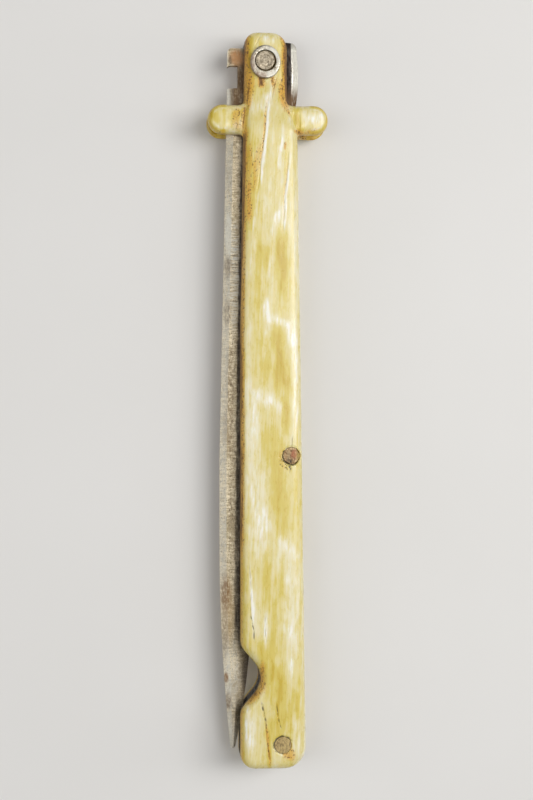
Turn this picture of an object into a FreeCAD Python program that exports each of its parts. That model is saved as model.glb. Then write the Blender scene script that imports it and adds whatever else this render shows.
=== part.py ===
"""Folding pocket knife, closed: horn handle with a small guard, long tapering blade, sprung window lock.

Millimetres. The knife lies on its rear face. X runs across the handle, from the blade side to the back.
Y runs along it, towards the pivot end, and Z up through its thickness. The origin is the middle of the
knife's box, on the surface that it lies on.
"""
import FreeCAD, Part
import math
import os

Vector = FreeCAD.Vector

# Handle, seen from the front
handle_length = 130.0
head_width = 7.5
head_belly_corner_radius = 2.2
head_back_corner_radius = 2.8
pivot_from_top = 5.4
pivot_to_guard = 7.4
head_offset = -0.4
pivot_from_head_middle = -0.2
guard_span = 21.4
guard_height = 5.3
guard_end_radius = 2.6
shoulder_radius = 4.0
belly_flare = 0.75
belly_bend_from_top = 54.0
belly_bend_radius = 300.0
pivot_to_back = 5.8
back_flare = 1.5
butt_back_radius = 3.8
butt_belly_radius = 2.5

# Finger notch in the belly edge of the handle
notch_from_butt = 15.9
notch_half_mouth = 5.65
notch_depth = 4.9
notch_floor_radius = 4.2
notch_lip_radius = 3.0

# Layers through the thickness
scale_thickness = 3.2
liner_thickness = 0.5
tang_thickness = 2.4
blade_side_clearance = 0.1
spring_side_clearance = 0.05
guard_thickness = 2.2
guard_rim_radius = 1.4
rim_radius = 1.6
head_drop = 0.9
head_slope_radius = 10.0
head_slope_start = 1.0
rosette_margin = 0.9

# Pivot
pivot_pin_radius = 1.7
pin_running_clearance = 0.03
pin_seat_clearance = 0.02
rosette_width = 5.3
rosette_length = 5.95
rosette_drop = 0.2
rosette_thickness = 0.75
rosette_rim_radius = 0.3
rosette_gap = 0.12
pin_end_sink = 0.1
pin_end_chamfer = 0.15

# Rivets
rivet_shank_radius = 1.0
rivet_head_radius = 1.5
rivet_head_depth = 1.2
middle_rivet_from_butt = 55.2
middle_rivet_from_back = 2.0
butt_rivet_from_butt = 4.4
butt_rivet_from_back = 4.2

# Blade: the tang turns on the pivot, and its tooth locks in the spring's window
tang_radius = 4.65
tooth_height = 1.85
tooth_above_pivot = 3.0
tooth_below_pivot = 0.1
tooth_thickness = 1.2
tooth_corner_radius = 0.85
beak_drop = 0.3
beak_width = 0.45
shoulder_below_pivot = 4.25
blade_length = 121.6
ricasso_length = 8.0
plunge_length = 4.0
point_length = 36.0
point_curve_length = 21.5
spine_at_shoulder = 6.5
spine_at_belly = 7.85
spine_belly_from_pivot = 70.0
spine_point_drop = 2.0
edge_at_shoulder = 2.6
edge_slant = 5.9
edge_point_rise = 1.8
spine_facet_width = 1.2
tip_thickness = 1.0
edge_thickness = 0.24
spine_thickness_share = 0.5
grind_share = 0.45
ricasso_grind_share = 0.08
facet_limit_share = 0.3
tip_end_share = 0.45
point_stations = 10

# Back spring: a leaf along the back, whose free arm ends in the lock
spring_leaf_thickness = 2.0
spring_head_bulge = 0.45
tang_spring_clearance = 0.08
back_inset = 0.1
lock_clearance = 0.1
spring_end_above_pivot = 4.1
spring_end_corner_width = 0.8
spring_end_corner_height = 1.7
spring_tail_butt_width = 6.0
knuckle_clearance = 0.15
tail_seat_angle = 20.0

# Every cut runs this far past the solid that it cuts
overrun = 2.0

# Places worked out from the sizes above
head_top_y = handle_length / 2
butt_y = -handle_length / 2
pivot_x = head_offset + pivot_from_head_middle
pivot_y = head_top_y - pivot_from_top
guard_top_y = pivot_y - pivot_to_guard
guard_bottom_y = guard_top_y - guard_height
head_left_x = head_offset - head_width / 2
head_right_x = head_offset + head_width / 2
back_guard_x = pivot_x + pivot_to_back
spring_outer_x = back_guard_x - back_inset
spring_inner_x = spring_outer_x - spring_leaf_thickness
spring_end_y = pivot_y + spring_end_above_pivot
back_butt_x = back_guard_x + back_flare
belly_low_x = head_left_x - belly_flare
belly_bend_y = head_top_y - belly_bend_from_top
notch_y = butt_y + notch_from_butt
middle_rivet_y = butt_y + middle_rivet_from_butt
butt_rivet_y = butt_y + butt_rivet_from_butt

slot_width = tang_thickness + 2 * blade_side_clearance
middle_z = scale_thickness + liner_thickness + slot_width / 2
front_liner_z = middle_z + slot_width / 2
front_scale_z = front_liner_z + liner_thickness
front_face_z = front_scale_z + scale_thickness
head_face_z = front_face_z - head_drop


def back_x(y):
    """Back edge of the handle, straight from the guard's lower side to the butt."""
    return back_guard_x + back_flare * (guard_bottom_y - y) / (guard_bottom_y - butt_y)


middle_rivet_x = back_x(middle_rivet_y) - middle_rivet_from_back
butt_rivet_x = back_x(butt_rivet_y) - butt_rivet_from_back


def flat_point(x, y):
    return Vector(x, y, 0)


def side_point(y, z):
    return Vector(0, y, z)


def rounded_wire(corners, place=flat_point):
    """Closed wire through (u, v, radius) corners, each one rounded by a tangent arc."""
    rounds = []
    for index, (u, v, radius) in enumerate(corners):
        corner = place(u, v)
        before = place(*corners[index - 1][:2]) - corner
        after = place(*corners[(index + 1) % len(corners)][:2]) - corner
        before.normalize()
        after.normalize()
        half_angle = before.getAngle(after) / 2
        reach = radius / math.tan(half_angle)
        inward = before + after
        inward.normalize()
        middle = corner + inward * (radius / math.sin(half_angle) - radius)
        rounds.append((corner + before * reach, middle, corner + after * reach, radius))
    edges = []
    for index, (start, middle, end, radius) in enumerate(rounds):
        if radius:
            edges.append(Part.Arc(start, middle, end).toShape())
        following = rounds[(index + 1) % len(rounds)][0]
        edges.append(Part.LineSegment(end, following).toShape())
    return Part.Wire(edges)


def slab(wire, low_z, high_z):
    """Plate with the wire's outline, between two heights."""
    plate = Part.Face(wire).extrude(Vector(0, 0, high_z - low_z))
    plate.translate(Vector(0, 0, low_z))
    return plate


def upright_cylinder(radius, x, y, low_z, high_z):
    return Part.makeCylinder(radius, high_z - low_z, Vector(x, y, low_z))


def handle_outline(inset=0):
    """Head and body without the guard's arms, clockwise from the head's left corner."""
    notch_low_y = notch_y - notch_half_mouth
    notch_high_y = notch_y + notch_half_mouth
    return rounded_wire([
        (head_left_x + inset, head_top_y - inset, head_belly_corner_radius - inset),
        (head_right_x - inset, head_top_y - inset, head_back_corner_radius - inset),
        (head_right_x - inset, guard_top_y, shoulder_radius),
        (back_guard_x - inset, guard_bottom_y, shoulder_radius),
        (back_butt_x - inset, butt_y + inset, butt_back_radius - inset),
        (belly_low_x + inset, butt_y + inset, butt_belly_radius - inset),
        (belly_low_x + inset, notch_low_y, notch_lip_radius),
        (belly_low_x + inset + notch_depth, notch_y, notch_floor_radius),
        (belly_low_x + inset, notch_high_y, notch_lip_radius),
        (belly_low_x + inset, belly_bend_y, belly_bend_radius),
    ])


def rim_edges(solid, seat_z):
    """Edges between a side wall and the outer face, away from the flat seat."""
    chosen = []
    for edge in solid.Edges:
        if edge.BoundBox.ZMin <= seat_z + rim_radius / 2:
            continue
        walls = 0
        for face in solid.ancestorsOfType(edge, Part.Face):
            low_u, high_u, low_v, high_v = face.ParameterRange
            normal = face.normalAt((low_u + high_u) / 2, (low_v + high_v) / 2)
            if abs(normal.z) < rim_radius / handle_length:
                walls += 1
        if walls == 1:
            chosen.append(edge)
    return chosen


def scale_blank():
    """Front scale before its holes: rounded body, lower head and the two arms of the guard."""
    body = slab(handle_outline(), front_scale_z, front_face_z)
    slope_low_y = guard_bottom_y + head_slope_start
    slope_high_y = pivot_y - rosette_drop - rosette_length / 2 - rosette_margin
    side = rounded_wire([
        (butt_y - overrun, front_scale_z, 0),
        (head_top_y + overrun, front_scale_z, 0),
        (head_top_y + overrun, head_face_z, 0),
        (slope_high_y, head_face_z, head_slope_radius),
        (slope_low_y, front_face_z, head_slope_radius),
        (butt_y - overrun, front_face_z, 0),
    ], side_point)
    profile = Part.Face(side).extrude(Vector(2 * guard_span, 0, 0))
    profile.translate(Vector(-guard_span, 0, 0))
    body = body.common(profile).removeSplitter()
    body = body.makeFillet(rim_radius, rim_edges(body, front_scale_z))
    half_span = guard_span / 2
    arms = slab(rounded_wire([
        (-half_span, guard_top_y, guard_end_radius),
        (half_span, guard_top_y, guard_end_radius),
        (half_span, guard_bottom_y, guard_end_radius),
        (-half_span, guard_bottom_y, guard_end_radius),
    ]), front_scale_z, front_scale_z + guard_thickness)
    arms = arms.makeFillet(guard_rim_radius, rim_edges(arms, front_scale_z))
    return body.fuse(arms).removeSplitter()


def mirrored(shape):
    """The same shape on the rear side of the blade's middle plane."""
    return shape.mirror(Vector(0, 0, middle_z), Vector(0, 0, 1))


def rivet_places():
    return {
        "middle_rivet": (middle_rivet_x, middle_rivet_y),
        "butt_rivet": (butt_rivet_x, butt_rivet_y),
    }


def scale(blank):
    """Front scale with its pivot hole and its stepped rivet holes."""
    top_z = front_face_z + overrun
    low_z = front_scale_z - overrun
    cuts = [upright_cylinder(pivot_pin_radius + pin_seat_clearance, pivot_x, pivot_y, low_z, top_z)]
    for x, y in rivet_places().values():
        cuts.append(upright_cylinder(rivet_shank_radius + pin_seat_clearance, x, y, low_z, top_z))
        seat_z = front_face_z - rivet_head_depth
        cuts.append(upright_cylinder(rivet_head_radius + pin_seat_clearance, x, y, seat_z, top_z))
    return blank.cut(cuts)


def liner():
    """Front liner: thin sheet with the handle's outline, pierced for the pivot and the rivets."""
    sheet = slab(handle_outline(), front_liner_z, front_scale_z)
    low_z = front_liner_z - overrun
    top_z = front_scale_z + overrun
    cuts = [upright_cylinder(pivot_pin_radius + pin_seat_clearance, pivot_x, pivot_y, low_z, top_z)]
    for x, y in rivet_places().values():
        cuts.append(upright_cylinder(rivet_shank_radius + pin_seat_clearance, x, y, low_z, top_z))
    return sheet.cut(cuts)


def rivet(x, y, envelope):
    """Rivet with a sunk head at each end, filed flush with the scales."""
    rear_seat_z = rivet_head_depth
    front_seat_z = front_face_z - rivet_head_depth
    shank = upright_cylinder(rivet_shank_radius, x, y, rear_seat_z, front_seat_z)
    front_head = upright_cylinder(rivet_head_radius, x, y, front_seat_z, front_face_z + overrun)
    rear_head = upright_cylinder(rivet_head_radius, x, y, -overrun, rear_seat_z)
    return shank.fuse([front_head, rear_head]).common(envelope).removeSplitter()


def handle_envelope(blank):
    """The closed handle as one block, which the rivets are filed down to."""
    core = slab(handle_outline(), 2 * middle_z - front_scale_z, front_scale_z)
    return core.fuse([blank, mirrored(blank)])


def pivot_pin():
    """Pivot pin from rosette to rosette, its ends just below their faces."""
    end_z = head_face_z + rosette_thickness - pin_end_sink
    pin = upright_cylinder(pivot_pin_radius, pivot_x, pivot_y, 2 * middle_z - end_z, end_z)
    rims = [edge for edge in pin.Edges if edge.BoundBox.ZLength < pin_end_chamfer]
    return pin.makeChamfer(pin_end_chamfer, rims)


def rosette():
    """Front rosette: oval washer with a rounded rim, on the head round the pin's end and a little low."""
    centre = Vector(pivot_x, pivot_y - rosette_drop, head_face_z)
    oval = Part.Ellipse(centre + Vector(0, rosette_length / 2, 0),
                        centre + Vector(-rosette_width / 2, 0, 0), centre)
    disc = Part.Face(Part.Wire(oval.toShape())).extrude(Vector(0, 0, rosette_thickness))
    top_z = head_face_z + rosette_thickness
    rims = [edge for edge in disc.Edges if edge.BoundBox.ZMin > head_face_z + rosette_thickness / 2]
    disc = disc.makeFillet(rosette_rim_radius, rims)
    hole = upright_cylinder(pivot_pin_radius + rosette_gap, pivot_x, pivot_y,
                            head_face_z - overrun, top_z + overrun)
    return disc.cut(hole)


def spine_offset(distance):
    """Distance of the blade's spine from the pivot's long axis, at a distance along the blade."""
    point_start = blade_length - point_length
    lean = (distance - shoulder_below_pivot) / (spine_belly_from_pivot - shoulder_below_pivot)
    offset = spine_at_shoulder + (spine_at_belly - spine_at_shoulder) * min(lean, 1)
    into_point = max(distance - point_start, 0) / point_length
    return offset - spine_point_drop * into_point ** 2


def edge_offset(distance):
    """Distance of the cutting edge from the pivot's long axis, on the side of the spring."""
    curve_start = blade_length - point_curve_length
    along = (distance - shoulder_below_pivot) / (blade_length - shoulder_below_pivot)
    into_curve = max(distance - curve_start, 0) / point_curve_length
    return edge_at_shoulder - edge_slant * along - edge_point_rise * into_curve ** 2


def blade_section(distance, grind, end_share=1.0):
    """Eight-sided section of the blade: narrow spine, facets, flats, ground bevels and blunted edge."""
    spine_x = pivot_x - spine_offset(distance)
    edge_x = pivot_x + edge_offset(distance)
    middle_x = (spine_x + edge_x) / 2
    width = edge_x - spine_x
    ricasso_end = shoulder_below_pivot + ricasso_length
    taper = max(distance - ricasso_end, 0) / (blade_length - ricasso_end)
    half = (tang_thickness + (tip_thickness - tang_thickness) * taper) / 2
    facet = min(spine_facet_width, width * facet_limit_share)
    upper = [
        (spine_x, half * spine_thickness_share),
        (spine_x + facet, half),
        (edge_x - width * grind, half),
        (edge_x, edge_thickness / 2),
    ]
    lower = [(x, -height) for x, height in reversed(upper)]
    points = []
    for x, height in upper + lower:
        across = middle_x + (x - middle_x) * end_share
        points.append(Vector(across, pivot_y - distance, middle_z + height * end_share))
    return Part.makePolygon(points + points[:1])


def tang_rebate():
    """Room for the cheeks of the lock head, on the front face of the tang: all round the hub that stays thick."""
    hub_radius = spring_inner_x - pivot_x - lock_clearance
    reach = tang_radius + tooth_height + overrun
    low_y = pivot_y - spring_end_above_pivot - lock_clearance
    low_z = middle_z + tooth_thickness / 2
    high_z = middle_z + tang_thickness / 2 + overrun
    room = Part.makeBox(2 * reach, reach + pivot_y - low_y, high_z - low_z, Vector(pivot_x - reach, low_y, low_z))
    hub = upright_cylinder(hub_radius, pivot_x, pivot_y, low_z, high_z)
    neck = Part.makeBox(2 * hub_radius, reach, high_z - low_z, Vector(pivot_x - hub_radius, pivot_y - reach, low_z))
    return room.cut([hub, neck])


def blade():
    """Blade with its tang disc, the tooth and notch of the lock, and the pivot hole."""
    ricasso_end = shoulder_below_pivot + ricasso_length
    plunge_end = ricasso_end + plunge_length
    point_start = blade_length - point_length
    tip_cap = blade_length - edge_thickness
    sections = [
        blade_section(shoulder_below_pivot, ricasso_grind_share),
        blade_section(ricasso_end, ricasso_grind_share),
        blade_section(plunge_end, grind_share),
        blade_section(spine_belly_from_pivot, grind_share),
    ]
    for step in range(point_stations):
        distance = point_start + (tip_cap - point_start) * step / (point_stations - 1)
        sections.append(blade_section(distance, grind_share))
    sections.append(blade_section(blade_length, grind_share, tip_end_share))
    body = Part.makeLoft(sections, True, True)

    low_z = middle_z - tang_thickness / 2
    high_z = middle_z + tang_thickness / 2
    disc = upright_cylinder(tang_radius, pivot_x, pivot_y, low_z, high_z)
    shoulder_y = pivot_y - shoulder_below_pivot
    ricasso = slab(rounded_wire([
        (pivot_x - tang_radius, pivot_y, 0),
        (pivot_x, pivot_y, 0),
        (pivot_x, shoulder_y, 0),
        (pivot_x - tang_radius, shoulder_y, 0),
    ]), low_z, high_z)

    root_x = pivot_x - tang_radius / 2
    tooth_x = pivot_x - tang_radius - tooth_height
    tooth_top_y = pivot_y + tooth_above_pivot
    tooth_low_y = pivot_y - tooth_below_pivot
    tooth = slab(rounded_wire([
        (root_x, tooth_top_y, 0),
        (tooth_x, tooth_top_y, tooth_corner_radius),
        (tooth_x, tooth_low_y - beak_drop, 0),
        (tooth_x + beak_width, tooth_low_y, 0),
        (root_x, tooth_low_y, 0),
    ]), middle_z - tooth_thickness / 2, middle_z + tooth_thickness / 2)

    hole = upright_cylinder(pivot_pin_radius + pin_running_clearance, pivot_x, pivot_y,
                            low_z - overrun, high_z + overrun)
    rebate = tang_rebate()
    return body.fuse([disc, ricasso, tooth]).removeSplitter().cut([hole, rebate, mirrored(rebate)])


def spring_layer(wire):
    """Plate of the spring's width, in the middle of the blade slot."""
    half = slot_width / 2 - spring_side_clearance
    return slab(wire, middle_z - half, middle_z + half)


def knuckle_radius():
    return middle_rivet_from_back - back_inset


def spring_arm():
    """Free arm of the back spring: eye at the middle rivet, leaf, and lock head.

    The head has a pocket for the rim of the tang between two cheeks, and a window for the tooth.
    """
    eye = Vector(middle_rivet_x, middle_rivet_y, 0)
    radius = knuckle_radius()
    outer_guard = Vector(spring_outer_x, guard_bottom_y, 0)
    outer_neck = Vector(spring_outer_x, guard_top_y, 0)
    bulge = Vector(spring_outer_x + spring_head_bulge, (guard_top_y + pivot_y) / 2, 0)
    corner_side = Vector(spring_outer_x + spring_head_bulge / 2, spring_end_y - spring_end_corner_height, 0)
    corner_top = Vector(corner_side.x - spring_end_corner_width, spring_end_y, 0)
    quarter_share = math.sqrt(1 / 2)
    corner_middle = Vector(corner_top.x + spring_end_corner_width * quarter_share,
                           corner_side.y + spring_end_corner_height * quarter_share, 0)
    end_inner = Vector(spring_inner_x, spring_end_y, 0)
    leaf_guard = Vector(spring_inner_x, guard_bottom_y, 0)
    eye_outer = eye + Vector(radius, 0, 0)
    eye_end = eye - Vector(0, radius, 0)
    join_x = radius - spring_leaf_thickness
    eye_join = eye + Vector(join_x, math.sqrt(radius ** 2 - join_x ** 2), 0)
    wire = Part.Wire([
        Part.LineSegment(eye_outer, outer_guard).toShape(),
        Part.LineSegment(outer_guard, outer_neck).toShape(),
        Part.Arc(outer_neck, bulge, corner_side).toShape(),
        Part.Arc(corner_side, corner_middle, corner_top).toShape(),
        Part.LineSegment(corner_top, end_inner).toShape(),
        Part.LineSegment(end_inner, leaf_guard).toShape(),
        Part.LineSegment(leaf_guard, eye_join).toShape(),
        Part.Arc(eye_join, eye_end, eye_outer).toShape(),
    ])
    arm = spring_layer(wire)
    hole = upright_cylinder(rivet_shank_radius + pin_running_clearance, eye.x, eye.y, 0, front_face_z)
    # The pocket is round below the pivot, and straight above it for the notch of the tang
    slot_half = tooth_thickness / 2 + lock_clearance
    pocket_radius = tang_radius + tang_spring_clearance
    pocket = upright_cylinder(pocket_radius, pivot_x, pivot_y, middle_z - slot_half, middle_z + slot_half)
    mouth = Part.makeBox(pocket_radius, spring_end_above_pivot + overrun, 2 * slot_half,
                         Vector(pivot_x, pivot_y, middle_z - slot_half))
    # The window takes the tooth when the blade is turned half round, so it lies where the tooth comes to
    window_low_y = pivot_y - tooth_above_pivot - lock_clearance
    window_high_y = pivot_y + tooth_below_pivot + lock_clearance
    window = Part.makeBox(tang_radius + tooth_height + overrun, window_high_y - window_low_y, 2 * slot_half,
                          Vector(pivot_x, window_low_y, middle_z - slot_half))
    return arm.cut([hole, pocket, mouth, window])


def spring_tail():
    """Fixed part of the back spring, from the middle rivet to the butt, where it fills the handle's end."""
    eye = Vector(middle_rivet_x, middle_rivet_y, 0)
    radius = knuckle_radius() + knuckle_clearance
    angle = math.radians(tail_seat_angle)
    rise = Vector(0, radius * math.sin(angle), 0)
    reach = Vector(radius * math.cos(angle), 0, 0)
    seat_outer = eye + reach - rise
    seat_inner = eye - reach - rise
    seat_floor = eye - Vector(0, radius, 0)
    butt_outer = Vector(back_butt_x + overrun, butt_y - overrun, 0)
    top_outer = Vector(back_butt_x + overrun, seat_outer.y, 0)
    butt_inner = Vector(back_butt_x - spring_tail_butt_width, butt_y - overrun, 0)
    wire = Part.Wire([
        Part.Arc(seat_inner, seat_floor, seat_outer).toShape(),
        Part.LineSegment(seat_outer, top_outer).toShape(),
        Part.LineSegment(top_outer, butt_outer).toShape(),
        Part.LineSegment(butt_outer, butt_inner).toShape(),
        Part.LineSegment(butt_inner, seat_inner).toShape(),
    ])
    inside = slab(handle_outline(back_inset), 0, front_face_z)
    hole = upright_cylinder(rivet_shank_radius + pin_seat_clearance, butt_rivet_x, butt_rivet_y,
                            0, front_face_z)
    return spring_layer(wire).common(inside).removeSplitter().cut(hole)


def build():
    blank = scale_blank()
    envelope = handle_envelope(blank)
    front_scale = scale(blank)
    front_liner = liner()
    front_rosette = rosette()
    nodes = {
        "front_scale": front_scale,
        "rear_scale": mirrored(front_scale),
        "front_liner": front_liner,
        "rear_liner": mirrored(front_liner),
        "blade": blade(),
        "back_spring_tail": spring_tail(),
        "back_spring_arm": spring_arm(),
        "pivot_pin": pivot_pin(),
        "front_rosette": front_rosette,
        "rear_rosette": mirrored(front_rosette),
    }
    for name, (x, y) in rivet_places().items():
        nodes[name] = rivet(x, y, envelope)
    return nodes


def main():
    os.makedirs("parts", exist_ok=True)
    for name, shape in build().items():
        shape.exportStep("parts/" + name + ".step")


main()
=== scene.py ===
"""Looks of the folding pocket knife: worn horn, steel and iron, with floor, lights and camera.

Metres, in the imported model's own frame. The knife lies on its rear face, with the pivot towards +Y.
Tables of marks, spots and finishes are in millimetres where their comments say so.
"""
import bpy
import bmesh
import math
import numpy as np
from mathutils import Matrix, Vector, noise
from mathutils.bvhtree import BVHTree


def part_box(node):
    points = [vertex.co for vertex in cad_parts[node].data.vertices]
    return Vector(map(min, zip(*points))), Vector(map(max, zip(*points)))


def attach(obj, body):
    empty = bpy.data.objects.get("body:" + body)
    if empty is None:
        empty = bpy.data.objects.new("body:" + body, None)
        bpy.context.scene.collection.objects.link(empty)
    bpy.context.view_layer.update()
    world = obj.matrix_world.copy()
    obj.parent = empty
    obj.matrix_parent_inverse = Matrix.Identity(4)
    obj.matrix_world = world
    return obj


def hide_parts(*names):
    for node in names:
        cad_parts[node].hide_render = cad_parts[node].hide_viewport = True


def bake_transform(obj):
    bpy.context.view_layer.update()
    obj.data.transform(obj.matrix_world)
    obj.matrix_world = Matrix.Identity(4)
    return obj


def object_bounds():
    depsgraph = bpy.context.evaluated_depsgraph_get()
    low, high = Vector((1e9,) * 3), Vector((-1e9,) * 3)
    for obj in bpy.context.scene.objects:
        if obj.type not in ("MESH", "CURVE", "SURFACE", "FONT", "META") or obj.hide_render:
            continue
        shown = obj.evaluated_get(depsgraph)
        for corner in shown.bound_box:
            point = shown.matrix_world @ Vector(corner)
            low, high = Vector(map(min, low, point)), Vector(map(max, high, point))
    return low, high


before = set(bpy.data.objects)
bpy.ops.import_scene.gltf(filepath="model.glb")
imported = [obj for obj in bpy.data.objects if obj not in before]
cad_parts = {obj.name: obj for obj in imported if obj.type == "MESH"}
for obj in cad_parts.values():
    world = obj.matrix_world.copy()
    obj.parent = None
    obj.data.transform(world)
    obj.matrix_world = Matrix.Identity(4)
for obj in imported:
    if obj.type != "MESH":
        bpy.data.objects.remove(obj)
cad_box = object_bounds()
scene = bpy.context.scene
mm = 0.001


def middle_of(node):
    low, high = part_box(node)
    return (low + high) / 2


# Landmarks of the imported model
pivot = middle_of("pivot_pin")
middle_rivet = middle_of("middle_rivet")
butt_rivet = middle_of("butt_rivet")
rivet_low, rivet_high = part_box("butt_rivet")
rivet_radius = (rivet_high.x - rivet_low.x) / 2
front_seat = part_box("front_scale")[0].z
rear_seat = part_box("rear_scale")[1].z
spring_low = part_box("back_spring_tail")[0]
spring_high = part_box("back_spring_arm")[1]


# Mesh helpers

def points_of(mesh):
    flat = np.empty(3 * len(mesh.vertices))
    mesh.vertices.foreach_get("co", flat)
    return flat.reshape(-1, 3)


def normals_of(mesh):
    flat = np.empty(3 * len(mesh.vertices))
    mesh.vertex_normals.foreach_get("vector", flat)
    return flat.reshape(-1, 3)


def edges_of(mesh):
    flat = np.empty(2 * len(mesh.edges), dtype=np.int32)
    mesh.edges.foreach_get("vertices", flat)
    return flat.reshape(-1, 2)


def set_points(mesh, points):
    mesh.vertices.foreach_set("co", points.ravel())
    mesh.update()


def smooth_step(values, low, high):
    share = np.clip((values - low) / (high - low), 0, 1)
    return share * share * (3 - 2 * share)


def wander(points, wavelengths, seed):
    """Smooth noise from about -1 to 1 at each point, with its own wavelength along each axis."""
    places = points / np.array(wavelengths) + seed
    return np.array([noise.noise(place) for place in places.tolist()])


def evaluated_mesh(source):
    """Mesh of an object with its modifiers applied; the object itself is deleted."""
    graph = bpy.context.evaluated_depsgraph_get()
    mesh = bpy.data.meshes.new_from_object(source.evaluated_get(graph))
    bpy.data.objects.remove(source)
    return mesh


def new_object(name, mesh):
    made = bpy.data.objects.new(name, mesh)
    scene.collection.objects.link(made)
    return made


def remeshed_copy(node, voxel):
    """Even, closed mesh with a node's shape."""
    source = new_object("remesh_source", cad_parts[node].data.copy())
    remesh = source.modifiers.new("remesh", "REMESH")
    remesh.mode = "VOXEL"
    remesh.voxel_size = voxel
    return evaluated_mesh(source)


def relaxed(points, edges, weight, rounds):
    """Points drawn towards the middle of their neighbours, as far as each one's weight says."""
    first, second = edges[:, 0], edges[:, 1]
    count = np.bincount(edges.ravel(), minlength=len(points))
    for _ in range(rounds):
        total = np.empty_like(points)
        for axis in range(3):
            values = points[:, axis]
            total[:, axis] = np.bincount(first, values[second], len(points))
            total[:, axis] += np.bincount(second, values[first], len(points))
        points = points + weight[:, None] * (total / count[:, None] - points)
    return points


def finish_piece(name, mesh, material, slot, body, *nodes, smooth=True):
    """Puts a mesh in the scene as a piece that stands for nodes and rides on a body."""
    mesh.materials.clear()
    mesh.materials.append(material)
    mesh.polygons.foreach_set("use_smooth", [smooth] * len(mesh.polygons))
    made = new_object(name, mesh)
    if body:
        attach(made, body)
    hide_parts(*nodes)
    return made


# Material helpers

class Paint:
    """One material and short ways to write its nodes."""

    def __init__(self, name):
        self.material = bpy.data.materials.new(name)
        self.material.use_nodes = True
        self.tree = self.material.node_tree
        self.shader = self.tree.nodes["Principled BSDF"]
        self.place = self.tree.nodes.new("ShaderNodeTexCoord").outputs["Object"]

    def put(self, socket, value):
        if isinstance(value, bpy.types.NodeSocket):
            self.tree.links.new(value, socket)
        else:
            socket.default_value = value

    def node(self, kind, inputs, **settings):
        made = self.tree.nodes.new("ShaderNode" + kind)
        for name, value in settings.items():
            setattr(made, name, value)
        for key, value in inputs.items():
            self.put(made.inputs[key], value)
        return made

    def at(self, wavelengths, turn=0.0, origin=(0, 0, 0)):
        """Place on the piece, measured in wavelengths along each axis, after a turn about Z."""
        moved = self.node("VectorMath", {0: self.place, 1: origin}, operation="SUBTRACT").outputs[0]
        turned = self.node("Mapping", {"Vector": moved, "Rotation": (0, 0, turn)}).outputs[0]
        scale = [1 / length for length in wavelengths]
        return self.node("Mapping", {"Vector": turned, "Scale": scale}).outputs[0]

    def noise(self, wavelengths, seed, detail=3.0, turn=0.0):
        inputs = {"Vector": self.at(wavelengths, turn), "W": seed, "Scale": 1.0, "Detail": detail}
        return self.node("TexNoise", inputs, noise_dimensions="4D").outputs["Fac"]

    def rings(self, centre, wavelength):
        """Wavering rings round an upright axis."""
        rings_per_wave = math.tau / 20
        place = self.at((wavelength, wavelength, wavelength), 0.0, centre)
        inputs = {"Vector": place, "Scale": rings_per_wave, "Distortion": 3.0, "Detail": 2.0,
                  "Detail Scale": 1.5}
        return self.node("TexWave", inputs, wave_type="RINGS", rings_direction="Z").outputs["Fac"]

    def ramp(self, value, low, high, low_share=0.0, high_share=1.0):
        """Soft change from one share to another while the value goes from low to high."""
        inputs = {"Value": value, 1: low, 2: high, 3: low_share, 4: high_share}
        return self.node("MapRange", inputs, interpolation_type="SMOOTHSTEP").outputs[0]

    def line(self, value, low, high, at_low, at_high):
        """Even change from one amount to another while the value goes from low to high."""
        inputs = {"Value": value, 1: low, 2: high, 3: at_low, 4: at_high}
        return self.node("MapRange", inputs).outputs[0]

    def math(self, operation, first, second):
        return self.node("Math", {0: first, 1: second}, operation=operation).outputs[0]

    def product(self, *values):
        total = values[0]
        for value in values[1:]:
            total = self.math("MULTIPLY", total, value)
        return total

    def weighted(self, *terms):
        """Sum of values, each times its own factor."""
        total = 0.0
        for value, factor in terms:
            total = self.node("Math", {0: value, 1: factor, 2: total}, operation="MULTIPLY_ADD").outputs[0]
        return total

    def spot(self, centre, reach):
        """One at the centre, nothing at the reach from it along each axis."""
        offset = self.at(reach, 0.0, centre)
        length = self.node("VectorMath", {0: offset}, operation="LENGTH").outputs["Value"]
        return self.ramp(length, 1.0, 0.35)

    def along(self, axis):
        """Place on the piece along one axis."""
        return self.node("SeparateXYZ", {0: self.place}).outputs[axis]

    def lean(self):
        """How far the surface faces towards +X."""
        normal = self.tree.nodes.new("ShaderNodeTexCoord").outputs["Normal"]
        return self.node("SeparateXYZ", {0: normal}).outputs["X"]

    def gradient(self, value, stops):
        """Colour that changes softly from stop to stop as the value grows."""
        colour = stops[0][1]
        for (low, _), (high, following) in zip(stops, stops[1:]):
            colour = self.mix(self.ramp(value, low, high), colour, following)
        return colour

    def mix(self, share, first, second):
        return self.node("Mix", {0: share, 6: first, 7: second}, data_type="RGBA").outputs[2]

    def bump(self, height, distance, before=None):
        inputs = {"Height": height, "Distance": distance}
        if before:
            inputs["Normal"] = before
        return self.node("Bump", inputs).outputs[0]

    def shade(self, **inputs):
        """Sets or links the shader's own inputs, spaces in their names written as underscores."""
        for name, value in inputs.items():
            self.put(self.shader.inputs[name.replace("_", " ")], value)


def srgb(red, green, blue):
    """Colour from screen values of 0 to 255."""
    def linear(value):
        value = value / 255
        return value / 12.92 if value <= 0.04045 else ((value + 0.055) / 1.055) ** 2.4
    return (linear(red), linear(green), linear(blue), 1.0)


# Horn

honey = srgb(186, 152, 38)
deep_ochre = srgb(206, 178, 58)
ochre = srgb(218, 198, 97)
straw = srgb(228, 213, 146)
cream = srgb(237, 228, 190)
pearl = srgb(249, 246, 232)
amber = srgb(226, 169, 64)
brown = srgb(108, 68, 24)
soot = srgb(34, 22, 12)
horn_tones = [(0.32, honey), (0.5, deep_ochre), (0.66, ochre), (0.8, straw), (0.96, cream), (1.14, pearl)]

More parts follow.
